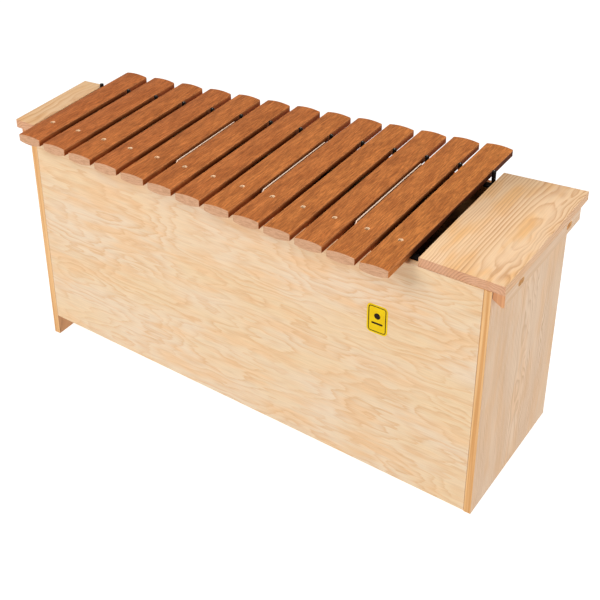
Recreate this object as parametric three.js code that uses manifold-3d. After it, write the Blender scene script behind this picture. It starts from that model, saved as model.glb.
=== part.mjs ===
// A floor-standing bass xylophone: thirteen hardwood bars on a tapered box resonator.
// The listener's side faces -Y, the lowest bar is at the +X end, and the feet stand on z = 0.
// Every piece that touches another keeps a small gap, so that each one stays a separate solid.

import * as THREE from 'three';
import { mergeVertices } from 'three/addons/utils/BufferGeometryUtils.js';
import Module from 'manifold-3d';

const wasm = await Module();
wasm.setup();

// Driving dimensions, in millimetres. Inside the model x runs from the outer face of the treble end
// panel, y from the front corner of the bass end panel, and z from the floor.
const GAP = 0.3;
const LOOSE_GAP = 0.5;

const BOX_LENGTH = 1058;
const BOX_HEIGHT = 500;
const WALL = 15;
const TREBLE_FRONT = 56;
const BASS_FRONT = 0;
const TREBLE_BACK = 265;
const BASS_BACK = 355.5;
const TREBLE_CLEARANCE = 50;
const BASS_CLEARANCE = 1;
const FLOOR_BOARD = 6;

const COVER_THICKNESS = 18;
const COVER_FRONT_INSET = 1.5;
const TREBLE_COVER = { xMin: -36.5, xMax: 13, overhang: 20, cut: { x: 10.5, y: 19 } };
const BASS_COVER = { xMin: 915, xMax: 1081, overhang: 24, cut: { x: 1, y: 1 } };

const CLEAT_WIDTH = 23;
const CLEAT_OUTER_DROP = 27;
const CLEAT_INNER_DROP = 15;
const CLEAT_LIP = 4;
const CLEAT_LIP_RISE = 2;
const CLEAT_FRONT_INSET = 3;
const CLEAT_BACK_INSET = 8;
const SCREW_DROP = 9;
const SCREW_PLACES = [0.2, 0.82];
const SCREW_SLOT = { length: 18, radius: 4.2, depth: 9 };
const SCREW_HEAD = { radius: 3.6, height: 3 };
const SCREW_SHANK_RADIUS = 2;
const SCREW_BITE = 12;

const RAIL_WIDTH = 16;
const RAIL_HEIGHT = 36;
const CUSHION_WIDTH = 15;
const CUSHION_HEIGHT = 4.4;
const CUSHION_RANGE = { xMin: 15.5, xMax: 912 };

const BAR_COUNT = 13;
const FIRST_BAR_X = 48;
const BAR_PITCH = 68.3;
const TREBLE_BAR = { width: 53.5, near: 2.8, far: 357.5, archDepth: 8 };
const BASS_BAR = { width: 57, near: -63.9, far: 455.7, archDepth: 11 };
const BAR_UNDERSIDE = BOX_HEIGHT + 5;
const BAR_BULGE = 4.4;
const BAR_SIDE = 13.4;
const BAR_CROWN = 3;
const BAR_CORNER = 2;
const BAR_HOLE_RADIUS = 4.2;
const ARCH_SPAN = 0.48;

const PIN_RADIUS = 2.5;
const PIN_TOP = BOX_HEIGHT + 14;
const PIN_DEPTH = 22;
const PEG_SHANK_RADIUS = 2;
const PEG_RADIUS = 4.2;
const PEG_TOP = BOX_HEIGHT + 27;
const PEG_SHIFT = { treble: 2.2, bass: 0.6 };

const PARTITION_THICKNESS = 4;
const PARTITION_TOP = BOX_HEIGHT + 20;
const PARTITION_FRONT_INSET = 40;
const PARTITION_CHAMFER = 5;
const PARTITION_AFTER_BAR = [5, 8, 11];

const ROUND_SIDES = 12;
const CURVE_STEPS = 8;

// The box is tapered in plan: its front and back faces are straight lines between the two ends.
const mix = (a, b, t) => a + (b - a) * t;
const frontFace = (x) => mix(TREBLE_FRONT, BASS_FRONT, x / BOX_LENGTH);
const backFace = (x) => mix(TREBLE_BACK, BASS_BACK, x / BOX_LENGTH);
const lowerEdge = (x) => mix(TREBLE_CLEARANCE, BASS_CLEARANCE, x / BOX_LENGTH);
const slopeOf = (line) => (line(BOX_LENGTH) - line(0)) / BOX_LENGTH;
const offsetLine = (line, distance) => (x) => line(x) + distance;

const nearRailCentre = offsetLine(frontFace, WALL + GAP + RAIL_WIDTH / 2);
const farRailCentre = offsetLine(backFace, GAP + RAIL_WIDTH / 2);

const barX = (index) => FIRST_BAR_X + BAR_PITCH * index;

// Solid work: three.js geometry in and out, with joins and cuts in between.
function solidOf(geometry) {
  const bare = geometry.clone();
  bare.deleteAttribute('normal');
  bare.deleteAttribute('uv');
  const merged = mergeVertices(bare, 1e-4);
  return new wasm.Manifold(new wasm.Mesh({
    numProp: 3,
    vertProperties: merged.attributes.position.array,
    triVerts: new Uint32Array(merged.index.array),
  }));
}

function geometryOf(solid) {
  const mesh = solid.getMesh();
  const geometry = new THREE.BufferGeometry();
  geometry.setAttribute('position', new THREE.BufferAttribute(mesh.vertProperties, 3));
  geometry.setIndex(new THREE.BufferAttribute(mesh.triVerts, 1));
  const faceted = geometry.toNonIndexed();
  faceted.computeVertexNormals();
  return faceted;
}

const cutFrom = (geometry, tools) =>
  geometryOf(tools.reduce((solid, tool) => solid.subtract(solidOf(tool)), solidOf(geometry)));

const commonOf = (geometry, tool) => geometryOf(solidOf(geometry).intersect(solidOf(tool)));

// A flat outline raised along +Z.
function raised(points, zMin, zMax) {
  const shape = new THREE.Shape(points.map(([x, y]) => new THREE.Vector2(x, y)));
  const geometry = new THREE.ExtrudeGeometry(shape, { depth: zMax - zMin, bevelEnabled: false });
  return geometry.translate(0, 0, zMin);
}

// An outline in x and z, given its thickness along +Y from y = yMin.
function standing(points, yMin, thickness) {
  const geometry = raised(points, 0, thickness);
  return geometry.rotateX(Math.PI / 2).translate(0, yMin + thickness, 0);
}

// An outline in y and z, given its thickness along +X from x = xMin.
function sideways(points, xMin, thickness) {
  const geometry = raised(points, 0, thickness);
  return geometry.rotateX(Math.PI / 2).rotateZ(Math.PI / 2).translate(xMin, 0, 0);
}

// A level board whose front and back edges follow two plan lines.
function planBoard({ xMin, xMax }, front, back, zMin, zMax) {
  return raised([
    [xMin, front(xMin)],
    [xMax, front(xMax)],
    [xMax, back(xMax)],
    [xMin, back(xMin)],
  ], zMin, zMax);
}

// A vertical round bar from zMin to zMax.
function upright(radius, x, y, zMin, zMax) {
  const geometry = new THREE.CylinderGeometry(radius, radius, zMax - zMin, ROUND_SIDES);
  return geometry.rotateX(Math.PI / 2).translate(x, y, (zMin + zMax) / 2);
}

// A round-ended prism lying along X between xA and xB; it is a plain round bar when length is 0.
function lying({ radius, length }, xA, xB, y, z) {
  const points = [];
  for (let i = 0; i < ROUND_SIDES; i += 1) {
    const angle = (2 * Math.PI * (i + 0.5)) / ROUND_SIDES;
    const reach = radius * Math.cos(angle) + Math.sign(Math.cos(angle)) * length / 2;
    points.push([y + reach, z + radius * Math.sin(angle)]);
  }
  return sideways(points, Math.min(xA, xB), Math.abs(xB - xA));
}

// A profile of [radius, height] points turned about the Z axis.
function turned(profile) {
  const points = profile.map(([radius, height]) => new THREE.Vector2(radius, height));
  return new THREE.LatheGeometry(points, ROUND_SIDES).rotateX(Math.PI / 2);
}

// Points of a quarter-round from [radius, low] to [0, high].
function domeProfile(radius, low, high, steps) {
  const points = [];
  for (let i = 1; i < steps; i += 1) {
    const angle = (Math.PI / 2) * (i / steps);
    points.push([radius * Math.cos(angle), low + (high - low) * Math.sin(angle)]);
  }
  return [...points, [0, high]];
}

// Materials.
const pineMaterial = () => new THREE.MeshStandardMaterial({ color: 0xf0d2a6, roughness: 0.55 });
const edgeGrainMaterial = () => new THREE.MeshStandardMaterial({ color: 0xdcae78, roughness: 0.6 });
const rubberMaterial = () => new THREE.MeshStandardMaterial({ color: 0x17161a, roughness: 0.6 });
const steelMaterial = () =>
  new THREE.MeshStandardMaterial({ color: 0x9a8f7c, roughness: 0.35, metalness: 0.9 });

function barMaterial(index) {
  const hue = mix(0.045, 0.062, ((index * 5) % BAR_COUNT) / BAR_COUNT);
  const color = new THREE.Color().setHSL(hue, 0.52, 0.45);
  return new THREE.MeshStandardMaterial({ color, roughness: 0.45 });
}

const instrument = new THREE.Group();

function addPiece(name, geometry, material, position = [0, 0, 0]) {
  const mesh = new THREE.Mesh(geometry, material);
  mesh.name = name;
  mesh.position.set(...position);
  instrument.add(mesh);
}

// The box resonator.
const innerSpan = { xMin: WALL + GAP, xMax: BOX_LENGTH - WALL - GAP };

// A long wall whose lower edge rises towards the treble end, sheared along its plan line.
function longWall(line) {
  const outline = [
    [innerSpan.xMin, lowerEdge(innerSpan.xMin)],
    [innerSpan.xMax, lowerEdge(innerSpan.xMax)],
    [innerSpan.xMax, BOX_HEIGHT],
    [innerSpan.xMin, BOX_HEIGHT],
  ];
  const shear = new THREE.Matrix4().makeShear(slopeOf(line), 0, 0, 0, 0, 0);
  return standing(outline, line(0), WALL).applyMatrix4(shear);
}

function floorBoard() {
  const front = offsetLine(frontFace, WALL + GAP);
  const back = offsetLine(backFace, -WALL - GAP);
  const slope = new THREE.Matrix4().makeShear(0, slopeOf(lowerEdge), 0, 0, 0, 0);
  return planBoard(innerSpan, front, back, lowerEdge(0), lowerEdge(0) + FLOOR_BOARD).applyMatrix4(slope);
}

// A thin plate that closes off one chamber, notched under the near rail; its top stands between two bars.
function partition(x) {
  const wallFace = frontFace(x) + WALL + LOOSE_GAP;
  const railFace = frontFace(x) + WALL + GAP + RAIL_WIDTH + LOOSE_GAP;
  const upperFront = frontFace(x) + PARTITION_FRONT_INSET;
  const backEdge = backFace(x) - WALL - LOOSE_GAP;
  const bottom = lowerEdge(x) + FLOOR_BOARD + LOOSE_GAP;
  const underRail = BOX_HEIGHT - RAIL_HEIGHT - LOOSE_GAP;
  const outline = [
    [wallFace, bottom],
    [backEdge, bottom],
    [backEdge, PARTITION_TOP],
    [upperFront + PARTITION_CHAMFER, PARTITION_TOP],
    [upperFront, PARTITION_TOP - PARTITION_CHAMFER],
    [upperFront, BOX_HEIGHT],
    [railFace, BOX_HEIGHT - (upperFront - railFace)],
    [railFace, underRail],
    [wallFace, underRail],
  ];
  return sideways(outline, x - PARTITION_THICKNESS / 2, PARTITION_THICKNESS);
}

const screwZ = BOX_HEIGHT - SCREW_DROP;
const screwYs = (x) => SCREW_PLACES.map((place) => mix(frontFace(x), backFace(x), place));
const shankHole = { radius: SCREW_SHANK_RADIUS + GAP, length: 0 };

// An end panel, with blind holes in its outer face for the cleat screws.
function endPanel(xMin, faceX, outward) {
  const board = planBoard({ xMin, xMax: xMin + WALL }, frontFace, backFace, 0, BOX_HEIGHT);
  const holeEnd = faceX - outward * (SCREW_BITE + GAP);
  return cutFrom(board, screwYs(faceX).map((y) => lying(shankHole, faceX + outward, holeEnd, y, screwZ)));
}

addPiece('front_panel', longWall(frontFace), pineMaterial());
addPiece('back_panel', longWall(offsetLine(backFace, -WALL)), pineMaterial());
addPiece('treble_end_panel', endPanel(0, 0, -1), pineMaterial());
addPiece('bass_end_panel', endPanel(BOX_LENGTH - WALL, BOX_LENGTH, 1), pineMaterial());
addPiece('floor_board', floorBoard(), pineMaterial());
PARTITION_AFTER_BAR.forEach((bar, i) => {
  addPiece(`partition_${i + 1}`, partition(barX(bar - 0.5)), pineMaterial());
});

// The covers, with a grip cleat screwed under each overhang. The corner nearest the end peg is cut off.
function cover({ xMin, xMax, overhang, cut }, pegSide) {
  const front = offsetLine(frontFace, COVER_FRONT_INSET);
  const back = offsetLine(backFace, overhang);
  const pegX = pegSide > 0 ? xMax : xMin;
  const farX = pegSide > 0 ? xMin : xMax;
  const cutX = pegX - pegSide * cut.x;
  const outline = [
    [farX, front(farX)],
    [pegX, front(pegX)],
    [pegX, back(pegX) - cut.y],
    [cutX, back(cutX)],
    [farX, back(farX)],
  ];
  return raised(outline, BOX_HEIGHT + GAP, BOX_HEIGHT + GAP + COVER_THICKNESS);
}

// A cleat is screwed to the end panel under the overhang, and its underside falls outwards for the fingers.
function cleat(faceX, outward) {
  const innerX = faceX + outward * GAP;
  const outerX = faceX + outward * CLEAT_WIDTH;
  const outline = [
    [innerX, BOX_HEIGHT],
    [innerX, BOX_HEIGHT - CLEAT_INNER_DROP],
    [outerX - outward * CLEAT_LIP, BOX_HEIGHT - CLEAT_OUTER_DROP],
    [outerX, BOX_HEIGHT - CLEAT_OUTER_DROP + CLEAT_LIP_RISE],
    [outerX, BOX_HEIGHT],
  ];
  const front = frontFace(faceX) + CLEAT_FRONT_INSET;
  const board = standing(outline, front, backFace(faceX) - CLEAT_BACK_INSET - front);
  const tools = screwYs(faceX).flatMap((y) => [
    lying(SCREW_SLOT, outerX - outward * SCREW_SLOT.depth, outerX + outward, y, screwZ),
    lying(shankHole, faceX - outward, outerX + outward, y, screwZ),
  ]);
  return cutFrom(board, tools);
}

// A cleat screw: its head sits on the floor of the slot and its tip is in the end panel.
function cleatScrew(outward) {
  const headBottom = SCREW_BITE + CLEAT_WIDTH - SCREW_SLOT.depth + GAP;
  const headTop = headBottom + SCREW_HEAD.height;
  const profile = [
    [0, 0],
    [SCREW_SHANK_RADIUS, 0],
    [SCREW_SHANK_RADIUS, headBottom],
    [SCREW_HEAD.radius, headBottom],
    [SCREW_HEAD.radius, headTop],
    [0, headTop],
  ];
  return turned(profile).rotateY(outward * Math.PI / 2);
}

function addGrip(end, faceX, outward) {
  addPiece(`${end}_grip_cleat`, cleat(faceX, outward), edgeGrainMaterial());
  screwYs(faceX).forEach((y, i) => {
    const tip = [faceX - outward * SCREW_BITE, y, screwZ];
    addPiece(`${end}_cleat_screw_${i + 1}`, cleatScrew(outward), steelMaterial(), tip);
  });
}

addPiece('treble_cover', cover(TREBLE_COVER, 1), pineMaterial());
addPiece('bass_cover', cover(BASS_COVER, -1), pineMaterial());
addGrip('treble', 0, -1);
addGrip('bass', BOX_LENGTH, 1);

// The pin rail lies inside the front panel, under one cushion; the other cushion lies on the back panel's
// top edge, and the peg rail runs along the outside of that panel.
const pinPlaces = Array.from({ length: BAR_COUNT }, (_, i) => [barX(i), nearRailCentre(barX(i))]);
const pegPlaces = Array.from({ length: BAR_COUNT + 1 }, (_, i) => {
  const x = barX(i - 0.5) + mix(PEG_SHIFT.treble, PEG_SHIFT.bass, i / BAR_COUNT);
  return [x, farRailCentre(x)];
});

const cushionBottom = BOX_HEIGHT + GAP;
const cushionTop = cushionBottom + CUSHION_HEIGHT;
const railBottom = BOX_HEIGHT - RAIL_HEIGHT;
const shankBottom = BOX_HEIGHT - PIN_DEPTH;

// A strip of one width along a plan line, with a round hole at each place.
function strip(range, centre, width, zMin, zMax, places, radius, holeBottom) {
  const board = planBoard(range, offsetLine(centre, -width / 2), offsetLine(centre, width / 2), zMin, zMax);
  const holes = places.map(([x, y]) => upright(radius + GAP, x, y, holeBottom, zMax + 1));
  return cutFrom(board, holes);
}

function rail(range, centre, places, radius) {
  return strip(range, centre, RAIL_WIDTH, railBottom, BOX_HEIGHT, places, radius, shankBottom - GAP);
}

function cushion(centre, places) {
  return strip(CUSHION_RANGE, centre, CUSHION_WIDTH, cushionBottom, cushionTop, places, PIN_RADIUS,
    cushionBottom - 1);
}

const fullLength = { xMin: 0, xMax: BOX_LENGTH };
addPiece('pin_rail', rail(innerSpan, nearRailCentre, pinPlaces, PIN_RADIUS), edgeGrainMaterial());
addPiece('peg_rail', rail(fullLength, farRailCentre, pegPlaces, PEG_SHANK_RADIUS), edgeGrainMaterial());
addPiece('front_cushion', cushion(nearRailCentre, pinPlaces), rubberMaterial());
addPiece('back_cushion', cushion(offsetLine(backFace, -WALL / 2), []), rubberMaterial());

// A steel pin stands in the hole of each bar, below its top face.
function pin() {
  const shoulder = PIN_TOP - PIN_RADIUS;
  return turned([
    [0, shankBottom],
    [PIN_RADIUS, shankBottom],
    [PIN_RADIUS, shoulder],
    ...domeProfile(PIN_RADIUS, shoulder, PIN_TOP, 3),
  ]);
}

// A sleeved peg stands on each side of every bar, a little above its top edges.
function peg() {
  const shoulder = PEG_TOP - PEG_RADIUS / 2;
  return turned([
    [0, shankBottom],
    [PEG_SHANK_RADIUS, shankBottom],
    [PEG_SHANK_RADIUS, BOX_HEIGHT + GAP],
    [PEG_RADIUS, BOX_HEIGHT + GAP],
    [PEG_RADIUS, shoulder],
    ...domeProfile(PEG_RADIUS, shoulder, PEG_TOP, 4),
  ]);
}

const numbered = (name, index) => `${name}_${String(index + 1).padStart(2, '0')}`;

pinPlaces.forEach(([x, y], i) => addPiece(numbered('pin', i), pin(), steelMaterial(), [x, y, 0]));
pegPlaces.forEach(([x, y], i) => addPiece(numbered('peg', i), peg(), rubberMaterial(), [x, y, 0]));

// The bars, numbered from the treble end to the bass end.
function bulgedSection(width) {
  const half = width / 2;
  const points = [];
  for (let i = 0; i <= CURVE_STEPS; i += 1) {
    const across = mix(-half, half, i / CURVE_STEPS);
    points.push([across, BAR_BULGE * (across / half) ** 2]);
  }
  for (let i = 0; i <= CURVE_STEPS; i += 1) {
    const across = mix(half, -half, i / CURVE_STEPS);
    points.push([across, BAR_BULGE + BAR_SIDE + BAR_CROWN * (1 - (across / half) ** 2)]);
  }
  return points;
}

// The plan of a bar, with its four corners rounded.
function roundedPlan(halfWidth, near, far) {
  const shape = new THREE.Shape();
  const corners = [
    [halfWidth - BAR_CORNER, near + BAR_CORNER, -Math.PI / 2],
    [halfWidth - BAR_CORNER, far - BAR_CORNER, 0],
    [-halfWidth + BAR_CORNER, far - BAR_CORNER, Math.PI / 2],
    [-halfWidth + BAR_CORNER, near + BAR_CORNER, Math.PI],
  ];
  for (const [x, y, start] of corners) {
    shape.absarc(x, y, BAR_CORNER, start, start + Math.PI / 2, false);
  }
  shape.closePath();
  return shape;
}

// The tuning arch is a shallow curve cut across the underside between the two nodes.
function archTool(width, near, far, depth) {
  const length = far - near;
  const start = near + length * (1 - ARCH_SPAN) / 2;
  const end = far - length * (1 - ARCH_SPAN) / 2;
  const points = [[start, -1], [end, -1]];
  for (let i = 0; i <= 2 * CURVE_STEPS; i += 1) {
    const t = i / (2 * CURVE_STEPS);
    points.push([mix(end, start, t), depth * Math.sin(Math.PI * t) ** 2]);
  }
  return sideways(points, -width, 2 * width);
}

function bar(index) {
  const t = index / (BAR_COUNT - 1);
  const width = mix(TREBLE_BAR.width, BASS_BAR.width, t);
  const near = mix(TREBLE_BAR.near, BASS_BAR.near, t);
  const far = mix(TREBLE_BAR.far, BASS_BAR.far, t);
  const height = BAR_BULGE + BAR_SIDE + BAR_CROWN;
  const blank = standing(bulgedSection(width), near, far - near);
  const plan = new THREE.ExtrudeGeometry(roundedPlan(width / 2, near, far), {
    depth: height + 2,
    bevelEnabled: false,
    curveSegments: 3,
  }).translate(0, 0, -1);
  const hole = upright(BAR_HOLE_RADIUS, 0, nearRailCentre(barX(index)), -1, height + 1);
  const arch = archTool(width, near, far, mix(TREBLE_BAR.archDepth, BASS_BAR.archDepth, t));
  return cutFrom(commonOf(blank, plan), [hole, arch]);
}

for (let i = 0; i < BAR_COUNT; i += 1) {
  addPiece(numbered('bar', i), bar(i), barMaterial(i), [barX(i), 0, BAR_UNDERSIDE]);
}

// The origin is on the floor, under the middle of the whole instrument.
instrument.position.set(
  -(TREBLE_COVER.xMin + BASS_COVER.xMax) / 2,
  -(BASS_BAR.near + BASS_BAR.far) / 2,
  0,
);
const xylophone = new THREE.Group();
xylophone.add(instrument);

export default xylophone;
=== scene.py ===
# A floor-standing bass xylophone in a plain studio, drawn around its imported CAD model.
# Lengths are in metres. The lowest bar is at +X, the listener's side faces -Y, and the feet stand on z = 0.

import math
import random

import bmesh
import bpy
from mathutils import Matrix, Vector


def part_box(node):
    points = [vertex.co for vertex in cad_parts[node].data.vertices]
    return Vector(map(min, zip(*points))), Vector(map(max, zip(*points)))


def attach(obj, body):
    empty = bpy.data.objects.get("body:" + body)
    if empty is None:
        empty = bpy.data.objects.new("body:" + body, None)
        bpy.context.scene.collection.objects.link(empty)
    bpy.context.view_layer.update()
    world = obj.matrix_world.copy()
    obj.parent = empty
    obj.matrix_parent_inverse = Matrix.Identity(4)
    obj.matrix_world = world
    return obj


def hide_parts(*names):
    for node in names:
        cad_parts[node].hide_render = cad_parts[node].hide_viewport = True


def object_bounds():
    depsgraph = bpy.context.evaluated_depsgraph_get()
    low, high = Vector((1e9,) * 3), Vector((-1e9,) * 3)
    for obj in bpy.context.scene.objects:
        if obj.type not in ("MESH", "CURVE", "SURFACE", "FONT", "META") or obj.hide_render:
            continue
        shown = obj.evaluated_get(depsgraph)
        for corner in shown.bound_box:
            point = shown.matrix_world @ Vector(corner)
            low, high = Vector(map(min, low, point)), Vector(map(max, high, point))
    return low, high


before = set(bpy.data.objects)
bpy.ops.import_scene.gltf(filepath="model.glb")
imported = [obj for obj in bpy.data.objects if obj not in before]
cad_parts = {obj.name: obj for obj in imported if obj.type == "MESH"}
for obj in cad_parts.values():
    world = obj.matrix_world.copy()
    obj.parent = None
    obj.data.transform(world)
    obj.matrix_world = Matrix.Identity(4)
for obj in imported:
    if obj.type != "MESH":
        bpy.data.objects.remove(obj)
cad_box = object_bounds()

MM = 0.001
SEED = 7

# Sizes of the details that are drawn here. All other sizes come from the CAD solids and their boxes.
WELD = 0.01 * MM
FLAT_ANGLE = math.radians(0.5)
EDGE_ANGLE = math.radians(35)
SHARP_ANGLE = math.radians(40)
SHORT_EDGE = 5 * MM
BROAD_FACE = 0.7
ROUND_SIDES = 32

BOARD_EDGE = 0.6 * MM
COVER_EDGE = 0.9 * MM
COVER_SOFT_EDGE = 2.4 * MM
PARTITION_EDGE = 1.5 * MM
CUSHION_EDGE = 1.8 * MM

BAR_COUNT = 13
BAR_BULGE = 4.4 * MM
BAR_CROWN = 3 * MM
BAR_CORNER = 2 * MM
BAR_EDGE = 0.7 * MM
BAR_ACROSS = 16
BAR_HOLE_RADIUS = 4.2 * MM
BAR_HOLE_RIM = 0.6 * MM
STEEP_FACE = 0.8
ARCH_SPAN = 0.48
ARCH_STEPS = 28
ARCH_DEPTH = {"treble": 8 * MM, "bass": 11 * MM}

CLEAT_INNER_DROP = 15 * MM
CLEAT_LIP = 4 * MM
CLEAT_LIP_RISE = 2 * MM
# The drawn screw slots are higher and shallower than the CAD ones, and no shank hole is cut in them.
SLOT_LENGTH = 13 * MM
SLOT_RADIUS = 6.2 * MM
SLOT_DEPTH = 5.9 * MM
SCREW_SHANK_RADIUS = 2 * MM
SCREW_HEAD_HEIGHT = 3 * MM
SCREW_THREAD_DEPTH = 0.5 * MM
SCREW_THREADS = 12
SCREW_THREAD_LEAN = 0.6
SCREW_DRIVE = {"width": 1 * MM, "depth": 1.2 * MM}

PIN_GROOVE = {"half_width": 0.6 * MM, "depth": 0.2 * MM}
PEG_COUNT = 14
PEG_SHANK_RADIUS = 2 * MM
PEG_RIM = 1 * MM
PEG_TIP_RADIUS = 1.5 * MM
PEG_TIP_RISE = 0.8 * MM

LABEL_CENTRE = {"x_share": 0.802, "z": 360 * MM}
LABEL_SIZE = {"width": 44 * MM, "height": 62 * MM, "corner": 9 * MM}
LABEL_THICKNESS = 0.3 * MM
LABEL_SINK = LABEL_THICKNESS / 6
LABEL_PRINT = {"from": LABEL_THICKNESS / 2, "to": LABEL_THICKNESS * 1.2}
LABEL_STEPS = 6
LABEL_INSET = 3.2 * MM
LABEL_LINE = 1.8 * MM
LABEL_DOT = {"radius": 6.5 * MM, "rise": 7 * MM}
LABEL_BAND = {"half_width": 12 * MM, "half_height": 2 * MM, "rise": -9 * MM}

# The photographer's place: the camera looks down on the bass end from the front.
CAMERA_PLACE = (1.1934, -1.8948, 1.6879)
CAMERA_DOWN = math.radians(33.84)
CAMERA_TURN = math.radians(31.29)
CAMERA_LENS = 77.43
CAMERA_SENSOR = 36.0

FLOOR_SIZE = 14.0
FLOOR_DROP = 0.2 * MM
FLOOR_GLOW = 0.92
BACKDROP_LIGHT = 0.24
LIGHT_DISTANCE = 4.5
LIGHT_SIZE = 2.0
LIGHTS = {
    "key": {"azimuth": -20, "height": 38, "power": 101},
    "top": {"azimuth": 0, "height": 89, "power": 76},
    "side": {"azimuth": 75, "height": 12, "power": 29},
    "back": {"azimuth": 140, "height": 15, "power": 45},
}

# Marks in the woods, each with its length along the grain and its width across it.
SLOW_TONE = (290 * MM, 90 * MM)
WARM_PATCH = (130 * MM, 34 * MM)
RING_FADING = (230 * MM, 60 * MM)
PINE_FIBRE = (90 * MM, 2.2 * MM)
VENEER_HILL = (340 * MM, 105 * MM)
VENEER_KNOLL = (95 * MM, 26 * MM)
RING_FEATHER = (60 * MM, 4 * MM)
LOG_BEND = (150 * MM, 60 * MM)
STRIP_BAND = (420 * MM, 6 * MM)
STRIP_FIBRE = (70 * MM, 1.2 * MM)
BAR_CLOUD = (60 * MM, 15 * MM)
BAR_STREAK = (26 * MM, 2 * MM)
BAR_FIBRE = (15 * MM, 1 * MM)
BAR_PORES = (9 * MM, 0.7 * MM)
RAW_ARC = (12 * MM, 2.2 * MM)
RAW_PORES = (1.4 * MM, 0.8 * MM)

# Noise lies round a half. Each pair is where a mark begins to show in it and where it shows in full.
NOISE_ROUGHNESS = 0.55
NOISE_SPREAD = (0.2, 0.8)
TINT_SPREAD = (0.3, 0.7)
SLOW_TONE_STARTS = (0.38, 0.62)
WARM_PATCH_STARTS = (0.48, 0.66)
RING_FADING_STARTS = (0.34, 0.6)
STRIP_BAND_STARTS = (0.36, 0.62)
BAR_CLOUD_STARTS = (0.4, 0.62)
BAR_PORE_STARTS = (0.58, 0.7)
RAW_ARC_STARTS = (0.38, 0.64)
RAW_PORE_STARTS = (0.55, 0.7)
MOTTLE_STARTS = (0.35, 0.65)
WARM_SHARE = 0.75
CLOUD_SHARE = 0.4
PORE_SHARE = 0.45
FAINTEST_RING = 0.4
FINE_DETAIL = 3.0
KNOLL_DETAIL = 1.5
PLAIN_DETAIL = 1.0

# How much each fine mark brightens and darkens its ground.
PINE_TINT = (1.04, 0.93)
STRIP_TINT = (1.05, 0.9)
BAR_STREAK_TINT = (1.3, 0.68)
BAR_FIBRE_TINT = (1.2, 0.8)

# Growth rings: grey levels from one ring to the next, and how many rings the figure rises.
RING_PROFILE = [(0.0, 0.35), (0.1, 0.0), (0.4, 0.08), (0.75, 0.55), (0.93, 1.0), (1.0, 0.35)]
RING_RELIEF = 0.35
RING_SPACING = 5.2 * MM
RING_CLEARNESS = {"distances": (15 * MM, 50 * MM), "levels": (0.7, 1.15)}
LOG_BEND_SIZE = 11 * MM
SAWN_FEATHER = 0.3
VENEER_HILL_RINGS = 13.0
VENEER_KNOLL_RINGS = 3.4
VENEER_FEATHER = 0.7
VENEER_RING_SHARE = 0.75
COVER_PITH = {"x_share": 0.76, "depth": 55 * MM}
END_PANEL_PITH_DEPTH = 34 * MM

# Where in the noise each board is cut, so that no two look alike.
GRAIN_SEEDS = {
    "front_face": 2.0,
    "bass_cover": 2.7,
    "upright_edge": 3.1,
    "raw_bar_end": 4.0,
    "treble_end_face": 5.3,
    "treble_cover": 6.1,
    "level_edge": 7.7,
    "back_face": 9.4,
    "partition_edge": 11.0,
    "floor_face": 12.5,
    "bass_end_face": 13.6,
    "cleat_face": 15.5,
    "long_inside": 17.2,
    "cleat_end": 19.9,
    "cross_inside": 21.8,
    "rail_face": 23.0,
    "rail_end": 27.0,
    "end_inside": 30.1,
    "slot_wall": 33.0,
    "slot_floor": 35.0,
}
BAR_SEED_STEP = 3.7

# How each surface takes the light. The mottled ones also have a scale, in mottles for each metre.
BUMP = 0.5
SURFACES = {
    "pine": {"roughness": (0.42, 0.56), "gloss": 0.22, "depth": 0.06 * MM, "bump": BUMP},
    "strip": {"roughness": (0.45, 0.6), "gloss": 0.22, "depth": 0.05 * MM, "bump": BUMP},
    "bar": {"roughness": (0.38, 0.52), "gloss": 0.14, "depth": 0.05 * MM, "bump": 0.6},
    "raw": {"roughness": (0.6, 0.75), "gloss": 0.15, "depth": 0.06 * MM, "bump": BUMP},
    "drilled": {"roughness": (0.6, 0.75), "gloss": 0.15, "depth": 0.04 * MM, "bump": BUMP, "scale": 600},
    "rubber": {"roughness": (0.5, 0.7), "gloss": 0.1, "depth": 0.04 * MM, "bump": BUMP, "scale": 900},
    "sleeve": {"roughness": (0.4, 0.55), "gloss": 0.25, "depth": 0.04 * MM, "bump": BUMP, "scale": 900},
    "steel": {"roughness": (0.25, 0.42), "gloss": 0.5, "depth": 0.04 * MM, "bump": BUMP, "scale": 1200},
    "plated": {"roughness": (0.35, 0.5), "gloss": 0.5, "depth": 0.04 * MM, "bump": BUMP, "scale": 900},
    "paper": {"roughness": (0.5, 0.65), "gloss": 0.1, "depth": 0.04 * MM, "bump": BUMP, "scale": 500},
    "ink": {"roughness": (0.5, 0.65), "gloss": 0.1, "depth": 0.04 * MM, "bump": BUMP, "scale": 700},
    "floor": {"roughness": (0.8, 0.9), "gloss": 0.5, "depth": 0.04 * MM, "bump": BUMP, "scale": 12},
}
METALLIC = {"steel": 1.0, "plated": 0.7}
BROAD_MOTTLE = 12
MOTTLE_ROUGHNESS = 0.6

# A bar's tone lies between its two colours, by its place in the row and a little chance.
BAR_TONE_ENDS = (0.15, 0.75)
BAR_TONE_CHANCE = (-0.05, 0.25)
BAR_SIDE_ROUGHNESS = 0.85
# Painted shade low on the bars' sides, a painted shadow of the bass cover on the last bar, and edge wear
# with a painted highlight near the top edges.
BAR_SIDE_SHADE = 0.8
BAR_EDGE_WEAR_AND_HIGHLIGHT = 0.4
FREE_END_SHADE = 0.1
COVER_SHADOW_REACH = 30 * MM

# Where those start and where they are full: in from a bar's side, and down from its top.
BAR_SIDE_BAND = (1.5 * MM, 0.2 * MM)
SHADE_DEPTHS = (5 * MM, 11 * MM)
COVER_SHADOW_DEPTHS = (3 * MM, 6 * MM)
WEAR_AND_HIGHLIGHT_DEPTHS = (5.5 * MM, 3.5 * MM)

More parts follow.
